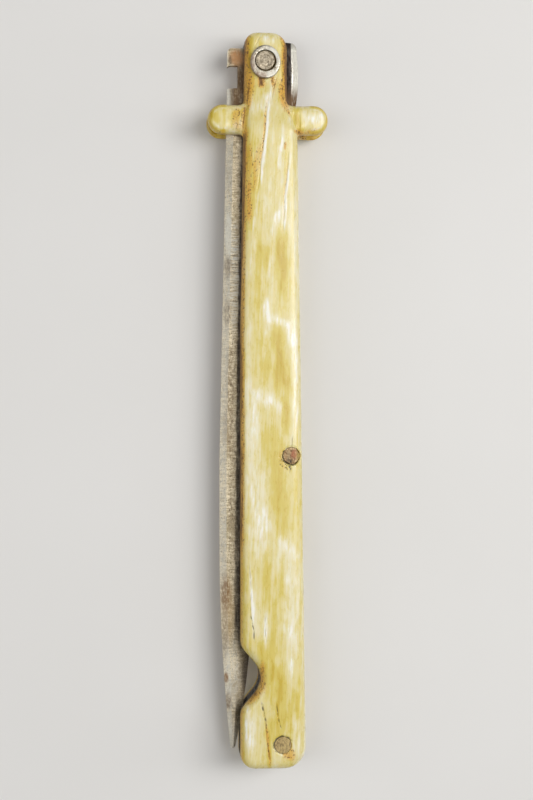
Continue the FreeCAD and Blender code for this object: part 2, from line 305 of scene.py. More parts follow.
# Wavelengths of the horn's patterns along X, Y and Z
cloud_waves = (3.2 * mm, 12 * mm, 3.2 * mm)
grain_waves = (0.7 * mm, 17 * mm, 0.7 * mm)
fibre_waves = (0.24 * mm, 5 * mm, 0.24 * mm)
flake_waves = (0.9 * mm, 2.2 * mm, 0.9 * mm)
speck_waves = (0.3 * mm, 0.42 * mm, 0.3 * mm)
shimmer_waves = (0.4 * mm, 2.8 * mm, 0.4 * mm)
pepper_waves = (0.2 * mm, 0.3 * mm, 0.2 * mm)
grain_lean = math.radians(2.5)
fibre_relief = 0.012 * mm
speck_relief = -0.05 * mm
flake_relief = 0.02 * mm
glow_depth = 0.8 * mm
glow_depth_shares = (1.0, 0.7, 0.3)


def horn_material(name, seed):
    """Streaked horn, coloured by the pale, golden, stained and cracked shares that its mesh carries; the pale
    share includes painted highlights, and the golden and stained shares painted shade.
    """
    paint = Paint(name)
    marks = paint.node("Attribute", {}, attribute_name="marks")
    parts = paint.node("SeparateColor", {0: marks.outputs["Color"]})
    pale, golden, stained_and_shaded = parts.outputs
    cracked = marks.outputs["Alpha"]
    cloud = paint.noise(cloud_waves, seed)
    grain = paint.noise(grain_waves, seed + 1, 4.0, grain_lean)
    fibre = paint.noise(fibre_waves, seed + 2, 3.0, grain_lean)
    flake = paint.noise(flake_waves, seed + 3, 5.0)
    speck = paint.noise(speck_waves, seed + 4, 3.0)
    shimmer = paint.noise(shimmer_waves, seed + 5, 6.0, grain_lean)
    pepper = paint.noise(pepper_waves, seed + 6, 2.0)

    streaks = paint.weighted((cloud, 0.48), (grain, 0.44), (fibre, 0.3), (flake, 0.38))
    pale = paint.product(pale, paint.ramp(shimmer, 0.4, 0.62, 0.35, 1.15))
    tone = paint.weighted((streaks, 1.0), (pale, 0.38), (golden, -0.26))
    colour = paint.gradient(tone, horn_tones)
    # this share darkens the horn for stains and for painted shade
    soaked_and_shaded = paint.product(stained_and_shaded, paint.ramp(streaks, 0.6, 1.0, 1.15, 0.6))
    colour = paint.mix(paint.ramp(soaked_and_shaded, 0.05, 0.8, 0.0, 0.8), colour, amber)
    colour = paint.mix(paint.ramp(soaked_and_shaded, 0.7, 1.2, 0.0, 0.85), colour, brown)
    pits = paint.product(paint.ramp(speck, 0.55, 0.63), paint.ramp(stained_and_shaded, 0.15, 0.6, 0.02, 0.85))
    dots = paint.product(paint.ramp(pepper, 0.52, 0.6), paint.ramp(stained_and_shaded, 0.45, 0.9, 0.0, 0.55))
    pits = paint.math("MAXIMUM", pits, dots)
    colour = paint.mix(pits, colour, brown)
    colour = paint.mix(cracked, colour, soot)

    relief = paint.bump(fibre, fibre_relief)
    relief = paint.bump(pits, speck_relief, relief)
    relief = paint.bump(flake, flake_relief, relief)
    dull = paint.math("MAXIMUM", cracked, paint.ramp(soaked_and_shaded, 0.2, 0.9))
    finish = paint.ramp(flake, 0.3, 0.7, 0.24, 0.36)
    rough = paint.math("ADD", finish, paint.product(dull, 0.35))
    paint.shade(Base_Color=colour, Normal=relief, Roughness=rough, IOR=1.54)
    paint.shade(Subsurface_Weight=0.12, Subsurface_Scale=glow_depth, Subsurface_Radius=glow_depth_shares)
    paint.shade(Coat_Weight=0.18, Coat_Roughness=0.16)
    return paint.material


# Shape of the scales and of their wear, which sets in between the two free heights above the seat
horn_voxel = 0.26 * mm
free_low = 0.25 * mm
free_high = 0.8 * mm
face_wave_depth = 0.05 * mm
face_waves = (7 * mm, 19 * mm, 7 * mm)
fine_wave_depth = 0.012 * mm
fine_waves = (1.1 * mm, 4 * mm, 1.1 * mm)
face_share = 0.35
crown_depth = 0.12 * mm
crown_half_width = 5.6 * mm
crown_middle = 0.5 * mm
fillet_reach = 1.1 * mm
fillet_rounds = 50
edge_soft_share = 0.05
hole_wear_depth = 0.12 * mm
hole_wear_width = 0.16 * mm
hole_edge_reach = 0.5 * mm
ragged_waves = (0.5 * mm, 0.5 * mm, 0.5 * mm)
middle_dirt_angle = math.radians(215)
butt_dirt_angle = math.radians(115)
crack_reach = 0.45 * mm
break_waves = (0.4 * mm, 1.1 * mm, 0.4 * mm)
wobble_waves = (2 * mm, 4 * mm, 2 * mm)
crevice_height = 0.004 * mm

# Colour of the scales by place, and painted shade and highlights by the way each surface faces
arm_start = 0.4 * mm
arm_full = 1.2 * mm
seam_low = 0.1 * mm
seam_high = 0.9 * mm
clean_belly_start = 22 * mm
clean_belly_end = 30 * mm
clean_belly_share = 0.6
# painted shade on the belly side (-X), painted highlight on the back side (+X)
belly_shade_gold_share = 0.7
belly_shade_share = 1.15
belly_seam_share = 1.2
back_seam_share = 0.6
back_highlight_share = 0.2
back_highlight_gold_cut = 1.1
arm_gold_share = 0.35
# painted shade on the arms' sides and on faces towards -Y, painted highlight on their ridge
arm_side_shade_gold_share = 0.8
arm_ridge_highlight_share = 0.7
arm_under_shade_share = 0.4
arm_side_shade_share = 0.28
# head's sides made darker: stain, and painted shade
head_belly_shade_and_stain_share = 0.85
head_back_shade_and_stain_share = 1.3
crevice_stain_share = 0.75
hole_dirt_share = 0.85

# Marks on the front scale in millimetres: start, end, half width and strength of each stroke
pale_strokes = [
    # painted highlight along a ridge in the head's face, continued on the next row
    ((0.2, 53.4), (-1.5, 38.5), 0.22, 2.6),
    ((-1.6, 38.5), (-3.0, 27.5), 0.2, 0.7),
    ((2.3, 47.0), (1.7, 40.6), 0.6, 1.0),
    ((1.0, 42.0), (0.6, 33.0), 1.3, 0.35),
    # painted highlight along a second ridge
    ((3.6, 42.5), (2.6, 30.5), 0.22, 2.0),
    ((2.2, 34.4), (0.5, 28.0), 0.6, 0.9),
    ((0.3, 27.0), (0.1, 21.0), 0.4, 0.7),
    ((-2.9, 28.6), (-3.0, 21.0), 0.45, 0.6),
    ((-0.9, 17.6), (0.2, 13.6), 0.8, 1.4),
    ((0.8, 14.6), (4.0, 13.0), 0.7, 1.2),
    ((-0.2, 15.4), (-0.7, 7.6), 0.5, 0.8),
    ((3.2, 14.2), (4.5, 9.2), 0.7, 0.9),
    ((4.6, 13.0), (4.7, -7.0), 0.6, 0.7),
    ((-2.4, 0.4), (1.8, -1.0), 1.4, 1.05),
    ((-3.2, 4.5), (-2.2, -9.5), 1.2, 0.6),
    ((-3.0, -9.3), (-1.2, -28.5), 1.5, 0.6),
    ((-2.6, -14.0), (-2.6, -22.0), 0.35, 0.8),
    ((-0.8, -18.0), (-0.6, -25.8), 0.4, 0.8),
    ((2.6, -23.6), (4.8, -28.6), 1.1, 0.65),
    ((3.4, -30.4), (5.0, -34.6), 1.0, 0.5),
    ((4.0, -19.0), (4.4, -46.0), 1.5, 0.3),
    # painted highlight beside the crack near the belly edge
    ((-3.3, -30.4), (-3.0, -39.2), 0.25, 1.5),
    ((-0.6, -37.4), (-0.6, -42.8), 0.4, 0.75),
    ((2.5, -39.0), (5.0, -42.8), 1.0, 0.55),
    ((3.9, -45.0), (3.9, -48.8), 0.4, 0.8),
    # painted highlight on the butt's rounded left edge
    ((-3.9, -54.0), (-3.4, -61.4), 0.7, 1.1),
    # painted highlight on the butt's rounded right edge
    ((4.9, -56.0), (4.9, -61.3), 0.6, 0.8),
    # painted highlight across the top of the head
    ((-1.6, 63.7), (1.4, 63.4), 0.7, 0.7),
    ((-1.6, 50.0), (-1.2, 54.5), 1.4, 0.5),
    ((6.4, 49.8), (10.4, 49.8), 1.2, 1.1),
]
golden_strokes = [
    ((-3.0, 47.0), (-2.7, 31.0), 1.2, 0.9),
    ((-1.3, 27.8), (0.0, 22.0), 1.1, 0.8),
    ((2.0, 29.6), (2.6, 18.5), 1.3, 1.1),
    ((-2.0, 22.0), (-2.2, 14.0), 0.9, 0.5),
    ((1.6, 13.0), (2.4, 0.4), 1.5, 1.0),
    ((2.2, 1.0), (3.5, -6.0), 0.9, 0.9),
    ((0.8, -4.0), (2.2, -24.0), 1.5, 0.7),
    ((-0.7, -27.0), (-0.3, -38.0), 0.8, 0.75),
    ((1.8, -28.5), (2.0, -37.0), 0.5, 0.45),
    ((-2.2, -41.5), (1.8, -51.0), 1.8, 0.85),
    ((1.2, -49.0), (2.0, -61.0), 2.2, 0.85),
    ((-3.6, 63.5), (-3.4, 54.0), 1.0, 2.0),
    ((2.9, 63.5), (3.0, 54.0), 1.0, 2.0),
    ((-6.0, 50.4), (-5.2, 48.6), 1.2, 1.2),
    ((4.6, 51.0), (5.2, 47.4), 0.9, 1.2),
    ((-9.4, 50.6), (-9.2, 48.4), 1.0, 1.0),
    ((0.1, -57.0), (0.0, -65.0), 0.4, 1.0),
    ((4.6, 26.0), (4.9, 16.0), 0.5, 0.5),
]
stain_and_shade_strokes = [
    ((-3.4, 58.4), (-3.5, 50.6), 0.7, 0.9),
    ((-3.7, 57.0), (-3.7, 52.0), 0.3, 1.05),
    ((3.0, 64.4), (3.1, 53.0), 0.7, 1.35),
    ((2.2, 57.4), (3.2, 50.8), 0.8, 0.9),
    ((2.9, 55.0), (3.3, 51.4), 0.35, 1.3),
    ((-4.2, 51.8), (-4.6, 47.4), 0.2, 1.1),
    ((1.4, 57.0), (0.8, 53.6), 0.4, 0.6),
    ((-2.4, 56.8), (-3.2, 53.0), 0.5, 0.6),
    ((-4.6, 51.8), (-4.4, 45.4), 0.8, 0.5),
    ((4.6, 47.8), (6.4, 46.9), 0.5, 1.1),
    ((5.6, 47.0), (9.4, 47.6), 0.5, 0.5),
    ((-5.7, 51.4), (-5.2, 47.2), 0.9, 0.72),
    ((-4.5, 47.0), (-4.7, 28.0), 0.45, 0.95),
    ((-3.7, 46.0), (-3.6, 32.0), 1.0, 0.4),
    # painted shade along the belly edge
    ((-4.8, 28.0), (-5.1, -43.0), 0.3, 0.5),
    ((-3.3, 46.0), (-2.6, 39.0), 0.35, 0.6),
    ((-3.6, 39.4), (-3.5, 31.0), 0.7, 0.9),
    ((-1.4, 57.4), (-1.2, 55.2), 0.5, 1.35),
    ((0.6, 57.2), (0.9, 55.0), 0.35, 1.2),
    # painted shade on the dark side of the first highlighted ridge
    ((-0.3, 53.0), (-2.0, 38.5), 0.25, 0.65),
    ((-1.7, 45.6), (-2.7, 36.5), 0.4, 0.6),
    # painted shade on the dark side of the second ridge
    ((3.2, 42.5), (2.3, 31.0), 0.2, 0.4),
    ((2.9, 45.4), (2.8, 44.0), 0.2, 1.1),
    ((-1.0, -45.6), (-1.05, -51.6), 0.6, 1.0),
    ((-1.25, -47.4), (-1.3, -51.4), 0.2, 1.4),
    ((-1.1, -50.6), (-3.9, -53.7), 0.6, 0.95),
    ((-1.6, -51.2), (-4.0, -53.3), 0.2, 1.3),
    ((-0.55, -56.6), (0.2, -64.6), 0.25, 0.8),
    ((2.1, -8.4), (2.8, -12.6), 0.7, 0.4),
    ((2.8, -62.2), (4.8, -62.9), 0.9, 0.7),
    ((4.0, -61.0), (4.6, -63.0), 0.5, 0.6),
    # painted shade along the belly edge
    ((-4.9, 6.0), (-5.0, -24.0), 0.5, 1.0),
]
# Cracks on the front scale in millimetres: points, half width, depth and share of darkness
front_cracks = [
    ([(-1.35, -53.2), (-1.0, -54.8), (-1.0, -55.2), (-0.6, -56.4)], 0.12, 0.25, 1.0),
    ([(-0.7, -56.0), (-0.4, -60.2), (0.2, -63.6)], 0.09, 0.16, 0.35),
    ([(1.25, -53.2), (1.5, -54.9), (1.55, -55.7), (2.05, -57.6)], 0.08, 0.15, 0.9),
    ([(-3.3, -37.8), (-2.95, -39.4), (-2.7, -40.4), (-2.65, -42.0)], 0.075, 0.18, 1.0),
    ([(-3.5, -29.0), (-3.2, -33.0), (-3.3, -37.8)], 0.05, 0.08, 0.5),
    ([(-0.7, -37.6), (-0.75, -40.0), (-0.55, -42.4)], 0.05, 0.1, 0.5),
    ([(4.1, -6.4), (4.0, -8.4)], 0.05, 0.12, 0.7),
    ([(3.8, -11.2), (3.6, -12.8)], 0.055, 0.12, 0.7),
    ([(-3.9, 52.4), (-4.3, 50.6), (-4.75, 47.4)], 0.12, 0.16, 0.15),
    ([(4.5, 51.0), (4.45, 47.4)], 0.16, 0.1, 0.0),
    ([(5.5, 51.0), (5.4, 47.2)], 0.16, 0.1, 0.0),
    ([(-1.4, 64.4), (-2.2, 62.6)], 0.1, 0.12, 0.2),
    ([(1.3, 56.6), (0.5, 53.0)], 0.08, 0.12, 0.3),
    ([(-0.2, 52.6), (-1.9, 38.0)], 0.12, 0.12, 0.0),
    ([(3.3, 42.5), (2.4, 30.8)], 0.12, 0.1, 0.0),
]


def stroke(points, start, end, width):
    """One in the middle of the line from start to end, fading out across it and at its ends."""
    start = np.array(start)
    along = np.array(end) - start
    offset = points[:, :2] - start
    share = offset @ along / (along @ along)
    away = offset - share[:, None] * along
    return np.exp(-(away ** 2).sum(1) / width ** 2 - (2 * share - 1) ** 4)


def painted(points, strokes, wobble):
    """Strongest of the strokes at each point, with wandering outlines. Points are in millimetres."""
    strength = np.zeros(len(points))
    for start, end, width, share in strokes:
        strength = np.maximum(strength, share * stroke(points + wobble * width, start, end, width))
    return strength


def crack_strength(points, cracks, wobble):
    """How dark and how deep the cracks are at each point. Points and depths are in millimetres."""
    dark = np.zeros(len(points))
    deep = np.zeros(len(points))
    for line, width, depth, dark_share in cracks:
        for start, end in zip(line, line[1:]):
            here = stroke(points + wobble * width, start, end, width)
            dark = np.maximum(dark, here * dark_share)
            deep = np.maximum(deep, here * depth)
    return dark, deep


def rivet_distance(points):
    """Distance of each point from the nearer rivet's rim, and how far it lies on that rivet's soiled side."""
    middle_arm = points[:, :2] - np.array(middle_rivet)[:2]
    butt_arm = points[:, :2] - np.array(butt_rivet)[:2]
    near_butt = points[:, 1] < (middle_rivet.y + butt_rivet.y) / 2
    arm = np.where(near_butt[:, None], butt_arm, middle_arm)
    angle = np.where(near_butt, butt_dirt_angle, middle_dirt_angle)
    length = np.hypot(arm[:, 0], arm[:, 1])
    side = (arm[:, 0] * np.cos(angle) + arm[:, 1] * np.sin(angle)) / length.clip(rivet_radius / 2, None)
    return length - rivet_radius, side


def refine_near(mesh, cracks, seat, outward):
    """Splits the faces near cracks and rivets, so that the cracks and worn rims are fine in the mesh."""
    work = bmesh.new()
    work.from_mesh(mesh)
    places = np.array([face.calc_center_median() for face in work.faces])
    near = np.abs(rivet_distance(places)[0]) < crack_reach
    for line, *_ in cracks:
        for start, end in zip(line, line[1:]):
            near |= stroke(places / mm, start, end, crack_reach / mm) > math.exp(-2)
    near &= (places[:, 2] - seat) * outward > crack_reach
    chosen = {edge for face, wanted in zip(work.faces, near) if wanted for edge in face.edges}
    bmesh.ops.subdivide_edges(work, edges=list(chosen), cuts=3, use_grid_fill=True)
    work.to_mesh(mesh)
    work.free()
    mesh.update()


def guard_span():
    """Lowest and highest Y of the guard's arms, and how far out the handle's own edges lie."""
    points = points_of(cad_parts["front_scale"].data)
    edge = points_of(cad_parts["front_liner"].data)[:, 0].max()
    arms = points[np.abs(points[:, 0]) > edge + rivet_radius]
    return arms[:, 1].min(), arms[:, 1].max(), edge


def softened(points, edges, free):
    """Points with soft inner corners at the guard, and all other free edges a little rounded."""
    guard_low, guard_high, handle_edge = guard_span()
    near_guard = smooth_step(points[:, 1], guard_low - 2 * fillet_reach, guard_low)
    near_guard *= 1 - smooth_step(points[:, 1], guard_high, guard_high + 2 * fillet_reach)
    root = np.abs(np.abs(points[:, 0]) - handle_edge + fillet_reach)
    near_guard *= 1 - smooth_step(root, fillet_reach, 2 * fillet_reach)
    firm = smooth_step(rivet_distance(points)[0], hole_edge_reach / 2, hole_edge_reach)
    weight = 0.5 * free * firm * np.maximum(near_guard, edge_soft_share)
    return relaxed(points, edges, weight, fillet_rounds)


def face_depth(points, facing, seed):
    """How far the hand-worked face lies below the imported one: uneven, and falling off to both edges."""
    depth = face_wave_depth * (1 + wander(points, face_waves, seed + 20))
    depth += fine_wave_depth * (1 + wander(points, fine_waves, seed + 30))
    depth *= face_share + (1 - face_share) * facing.clip(0, 1)
    aside = ((points[:, 0] - crown_middle) / crown_half_width).clip(-1, 1)
    return depth + crown_depth * aside ** 2 * facing.clip(0, 1)


def rim_dirt(points, seed):
    """How worn and soiled the horn is at the rims of the rivet holes."""
    ragged = wander(points, ragged_waves, seed + 40)
    from_rivet, side = rivet_distance(points)
    width = hole_wear_width * (1 + 1.1 * ragged).clip(0.2, None)
    worn = np.exp(-(from_rivet.clip(0, None) / width) ** 2)
    return worn * smooth_step(side + 0.9 * ragged, -0.5, 0.8)


def horn_tints(points, normals, facing, lift, strokes, wobble):
    """Pale, golden and stained share of each point: the strokes, what the point's place adds, and painted
    shade and highlights by the way the surface faces.
    """
    _, guard_high, handle_edge = guard_span()
    pale, golden, stain_and_shade = [painted(points / mm, rows, wobble) for rows in strokes]
    head = smooth_step(points[:, 1], guard_high - fillet_reach, guard_high + fillet_reach)
    arm = smooth_step(np.abs(points[:, 0]), handle_edge + arm_start, handle_edge + arm_full)
    # painted highlight: faces towards +X made paler and less golden
    lit_back_edge = smooth_step(normals[:, 0], 0.2, 0.6) * (1 - head)

    # painted shade: faces towards -X made more golden
    golden += belly_shade_gold_share * smooth_step(-normals[:, 0], 0.4, 0.95)
    golden -= back_highlight_gold_cut * lit_back_edge
    # painted shade: the arms' sloping sides made more golden
    arm_gold_and_shade_share = arm_gold_share + arm_side_shade_gold_share * smooth_step(1 - facing, 0.12, 0.4)
    golden = np.maximum(golden, arm * arm_gold_and_shade_share)
    pale = np.maximum(pale, back_highlight_share * lit_back_edge)
    # painted highlight: a pale ring where the arms' tops round over
    pale = np.maximum(pale, arm_ridge_highlight_share * arm * np.exp(-((facing - 0.9) / 0.06) ** 2))

    # painted shade: faces towards -X made darker, less so towards the butt
    belly_side_shade = belly_shade_share * smooth_step(-normals[:, 0], 0.5, 1.0) * (1 - arm)
    belly_side_shade *= 1 - clean_belly_share * smooth_step(-points[:, 1], clean_belly_start, clean_belly_end)
    # head's sides darker the more they face sideways: stain, and painted shade
    head_shade_and_stain_share = np.where(normals[:, 0] < 0, head_belly_shade_and_stain_share, head_back_shade_and_stain_share)
    head_side_shade_and_stain = head_shade_and_stain_share * head * smooth_step(np.abs(normals[:, 0]), 0.2, 0.9)
    # painted shade on the arms' faces towards -Y and on their sloping sides
    under_arm_shade = arm_under_shade_share * smooth_step(-normals[:, 1], 0.4, 0.9)
    arm_side_shade = arm_side_shade_share * smooth_step(1 - facing, 0.3, 0.7)
    # darker low on the side walls near the seat, most on the belly side: painted shade, with dirt along the
    # joint
    seam_share = np.where(normals[:, 0] < -0.3, belly_seam_share, back_seam_share)
    seam = (1 - smooth_step(lift, seam_low, seam_high)) * (1 - arm) * seam_share
    stain_and_shade = np.maximum.reduce([stain_and_shade, belly_side_shade, head_side_shade_and_stain, arm * np.maximum(under_arm_shade, arm_side_shade), seam])
    return pale, golden, stain_and_shade


def horn_scale(name, node, seat, outward, strokes, cracks, seed):
    """Scale as a hand-worked piece: soft inner corners at the guard, uneven face, cracks and worn holes."""
    mesh = remeshed_copy(node, horn_voxel)
    refine_near(mesh, cracks, seat, outward)
    points = points_of(mesh)
    edges = edges_of(mesh)
    lift = (points[:, 2] - seat) * outward
    free = smooth_step(lift, free_low, free_high)
    points = softened(points, edges, free)
    set_points(mesh, points)

    normals = normals_of(mesh)
    facing = normals[:, 2] * outward
    hollow = ((relaxed(points, edges, np.ones(len(points)), 3) - points) * normals).sum(1)
    crevice = smooth_step(hollow, crevice_height / 2, 2 * crevice_height)
    wobble = np.zeros_like(points)
    wobble[:, 0] = wander(points, wobble_waves, seed)
    wobble[:, 1] = wander(points, wobble_waves, seed + 9)
    dark, deep = crack_strength(points / mm, cracks, wobble)
    dark *= smooth_step(wander(points, break_waves, seed + 50), -0.35, 0.2)
    dirt = rim_dirt(points, seed)
    depth = face_depth(points, facing, seed)
    depth += deep * mm
    depth += hole_wear_depth * dirt
    bored = (rivet_distance(points)[0] < hole_wear_width) & (facing < 0.6)
    depth[bored] = 0
    points = points - normals * (depth * free)[:, None]
    set_points(mesh, points)

    pale, golden, stain_and_shade = horn_tints(points, normals, facing, lift, strokes, wobble)
    stain_and_shade = np.maximum(stain_and_shade, crevice_stain_share * crevice)
    cracked = np.maximum(dark * free, hole_dirt_share * dirt)
    marks = mesh.attributes.new("marks", "FLOAT_COLOR", "POINT")
    marks.data.foreach_set("color", np.stack([pale, golden, stain_and_shade, cracked], axis=1).ravel())
    finish_piece(name, mesh, horn_material(name, seed), "horn", "handle", node)


# Strokes scattered over the rear scale, which the photograph doesn't show: ranges in millimetres
scatter_x = (-4.5, 5.5)
scatter_y = (-63, 50)
scatter_length = (2, 12)
scatter_lean = (-0.8, 0.8)
scatter_thin = 0.25
pale_wide = 1.1
golden_wide = 1.6
stain_wide = 0.6


def random_strokes(count, seed, widest, lowest_share):
    draw = np.random.default_rng(seed)
    rows = []
    for _ in range(count):
        x = draw.uniform(*scatter_x)
        y = draw.uniform(*scatter_y)
        length = draw.uniform(*scatter_length)
        lean = draw.uniform(*scatter_lean)
        width = draw.uniform(scatter_thin, widest)
        share = draw.uniform(lowest_share, 1)
        rows.append(((x, y), (x + lean, y - length), width, share))
    return rows


# Pits beside the middle rivet: their angles, and sizes in millimetres
pit_angles = (math.radians(180), math.radians(268))
pit_distances = (0.1, 1.0)
pit_half_widths = (0.08, 0.13)
pit_depth = 0.06
pit_dark_share = 1.0


def rivet_pits(count, seed):
    """Small dark pits on one side of the middle rivet, written as short cracks."""
    draw = np.random.default_rng(seed)
    rows = []
    for _ in range(count):
        angle = draw.uniform(*pit_angles)
        reach = rivet_radius / mm + draw.uniform(*pit_distances)
        width = draw.uniform(*pit_half_widths)
        x = middle_rivet.x / mm + reach * math.cos(angle)
        y = middle_rivet.y / mm + reach * math.sin(angle)
        rows.append(([(x, y + width), (x, y - width)], width, pit_depth, pit_dark_share))
    return rows


front_strokes = (pale_strokes, golden_strokes, stain_and_shade_strokes)
rear_strokes = (random_strokes(26, 5, pale_wide, 0.6), random_strokes(16, 6, golden_wide, 0.7),
                stain_and_shade_strokes[:6] + random_strokes(4, 7, stain_wide, 0.4))
rear_cracks = [front_cracks[index] for index in (2, 7, 8, 9, 10)]
pitted_cracks = front_cracks + rivet_pits(22, 15)
horn_scale("front_scale_horn", "front_scale", front_seat, 1, front_strokes, pitted_cracks, 3.0)
horn_scale("rear_scale_horn", "rear_scale", rear_seat, -1, rear_strokes, rear_cracks, 61.0)


# Steel and iron

rust = srgb(126, 80, 42)
grime = srgb(52, 40, 28)
copper = srgb(198, 146, 94)
copper_red = srgb(184, 116, 82)
tan = srgb(202, 174, 128)
mauve = srgb(150, 122, 104)
olive = srgb(172, 146, 76)
# pale steel colour for painted highlights
highlight_silver = srgb(228, 225, 212)
ash = srgb(122, 117, 108)
umber = srgb(34, 18, 6)
bark = srgb(104, 76, 44)
rusty_brown = srgb(134, 96, 54)

# Finishes: bright and dull colour, seed, wavelengths of the scratches and size of the pits in millimetres,
# shares of pits and rust, roughness and metallic
finishes = {
    "blade_steel": (
        srgb(232, 218, 188), srgb(156, 141, 112), 11.0, (1.2, 0.3, 1.2), 0.15, 0.4, 0.3, 0.45, 0.75),
    "liner_steel": (
        srgb(150, 146, 138), srgb(90, 84, 76), 17.0, (0.3, 3, 0.3), 0.25, 0.4, 0.4, 0.45, 0.9),
    "spring_steel": (
        srgb(212, 208, 198), srgb(134, 127, 114), 23.0, (0.2, 2.4, 0.2), 0.2, 0.3, 0.3, 0.34, 0.9),
    "rosette_steel": (
        srgb(222, 216, 200), srgb(140, 126, 102), 31.0, (0.6, 0.12, 0.6), 0.2, 0.3, 0.3, 0.36, 0.9),
    "pin_steel": (
        srgb(192, 179, 156), srgb(132, 120, 99), 37.0, (0.4, 0.4, 0.4), 0.16, 0.4, 0.3, 0.42, 0.8),
    "middle_rivet_iron": (
        srgb(222, 196, 150), srgb(128, 94, 56), 41.0, (0.4, 0.4, 0.4), 0.2, 0.8, 0.4, 0.5, 0.5),
    "butt_rivet_iron": (
        srgb(198, 174, 118), srgb(146, 122, 78), 43.0, (0.4, 0.4, 0.4), 0.16, 0.5, 0.3, 0.5, 0.4),
}
ring_width = 0.5 * mm
tarnish_waves = (2.2 * mm, 5 * mm, 2.2 * mm)
bloom_waves = (1.5 * mm, 4.5 * mm, 1.5 * mm)
pit_wave_shares = (1, 1.3, 1)
freckle_wave_shares = (2, 5, 2)
scratch_relief = 0.012 * mm
pit_relief = -0.03 * mm
through = 2 * cad_box[1].z


def worn_metal(name, patches=(), ring_centre=None):
    """Filed metal gone dull: scratches one way or in rings, fine pits, rust, and patches of other colours,
    among them painted highlights and painted shade.
    """
    bright, dull, seed, scratch, pit, pit_share, rust_share, roughness, metallic = finishes[name]
    paint = Paint(name)
    scratches = paint.noise([length * mm for length in scratch], seed, 3.0)
    if ring_centre:
        scratches = paint.weighted((scratches, 0.8), (paint.rings(ring_centre, ring_width), 0.2))
    tarnish = paint.noise(tarnish_waves, seed + 1, 4.0)
    pits = paint.noise([share * pit * mm for share in pit_wave_shares], seed + 2, 3.0)
    bloom = paint.noise(bloom_waves, seed + 3, 5.0)
    freckles = paint.noise([share * pit * mm for share in freckle_wave_shares], seed + 4, 4.0)
    hollow = paint.ramp(pits, 0.64 - 0.12 * pit_share, 0.8 - 0.12 * pit_share)
    mottle = paint.weighted((tarnish, 0.55), (scratches, 0.5), (pits, -0.45))
    rusty = paint.ramp(bloom, 0.74 - 0.2 * rust_share, 0.9 - 0.2 * rust_share, 0.0, 0.7)

    colour = paint.mix(paint.ramp(mottle, 0.16, 0.46), dull, bright)
    colour = paint.mix(rusty, colour, rust)
    colour = paint.mix(paint.ramp(freckles, 0.52, 0.7, 0.0, 1.3 * pit_share), colour, grime)
    covered = 0.0
    for patch_colour, share, speckle_share, mask in patches:
        speckled = paint.ramp(freckles, 0.38, 0.56, share * (1 - speckle_share), share)
        here = paint.product(mask(paint), speckled)
        colour = paint.mix(here, colour, patch_colour)
        covered = paint.math("MAXIMUM", covered, here)
    colour = paint.mix(paint.product(hollow, 0.5), colour, grime)

    relief = paint.bump(scratches, scratch_relief)
    relief = paint.bump(hollow, pit_relief, relief)
    matt = paint.math("MAXIMUM", rusty, covered)
    rough = paint.ramp(tarnish, 0.3, 0.7, roughness - 0.08, roughness + 0.1)
    rough = paint.math("ADD", rough, paint.product(matt, 0.25))
    metal = paint.math("SUBTRACT", metallic, paint.product(matt, 0.5))
    paint.shade(Base_Color=colour, Normal=relief, Roughness=rough, Metallic=metal)
    return paint.material


def spot_mask(centre, reach):
    return lambda paint: paint.spot(centre, reach)


def spots(rows, middle=Vector((0, 0, 0))):
    """Patches from rows in millimetres: colour, two shares, place from the middle, and reach in X and Y."""
    patches = []
    for colour, share, speckle_share, (x, y), (reach_x, reach_y) in rows:
        centre = (middle.x + x * mm, middle.y + y * mm, pivot.z)
        mask = spot_mask(centre, (reach_x * mm, reach_y * mm, through))
        patches.append((colour, share, speckle_share, mask))
    return patches


# Blade

ridge_waves = (1.6 * mm, 0.22 * mm, 1.6 * mm)
ridge_x = -5.9 * mm
ridge_y = 22 * mm
ridge_reach_x = 1.5 * mm
ridge_reach_y = 13 * mm
belly_high_x = -4.25 * mm
belly_high_y = 46 * mm
belly_low_x = -4.9 * mm
belly_low_y = 11 * mm
notch_high = -43.5 * mm
notch_fade = 2.5 * mm
notch_blur = 5 * mm
# Painted shadow band along the handle's edge, and faint painted shade beside it
band_wide = 1.35 * mm
band_narrow = 0.6 * mm
band_covered = 2.4 * mm
band_ragged = 0.12 * mm
band_end_run = 6 * mm
band_wander = (0.7 * mm, 1.6 * mm, 0.7 * mm)
band_patches = (1.0 * mm, 4 * mm, 1.0 * mm)
shade_outside = 2.4 * mm
shade_inside = 1.0 * mm


def handle_edge_shadow_and_dirt(paint):
    """Band where the closed handle's edge runs over the blade: painted shadow of that edge, which stays as a
    dirt line on the open blade; and faint painted shade under and beside the handle.
    """
    along = paint.along("Y")
    edge = paint.line(along, belly_low_y, belly_high_y, belly_low_x, belly_high_x)
    ragged = paint.ramp(paint.noise(band_wander, 81.0, 4.0), 0.3, 0.7, -band_ragged, band_ragged)
    outside = paint.math("ADD", paint.math("SUBTRACT", edge, paint.along("X")), ragged)
    width = paint.line(along, notch_high, belly_low_y, band_wide, band_narrow)
    across = paint.ramp(paint.math("DIVIDE", outside, width), 1.0, 0.5)
    covered = paint.ramp(outside, -band_covered, 0.0)
    patchy = paint.ramp(paint.noise(band_patches, 83.0, 4.0), 0.35, 0.6, 0.7, 1.0)
    low_end = paint.ramp(along, notch_high - notch_fade, notch_high + notch_blur, 0.0, 0.92)
    high_end = paint.ramp(along, belly_high_y + band_end_run, belly_high_y)
    band = paint.product(across, covered, patchy, low_end, high_end)
    return paint.math("MAXIMUM", band, paint.ramp(outside, shade_outside, -shade_inside, 0.0, 0.3))


def spine_facet_highlight(paint):
    """The blade's filed facet along its spine, which leans towards -X; it is given a painted highlight."""
    return paint.ramp(paint.lean(), -0.04, -0.14)


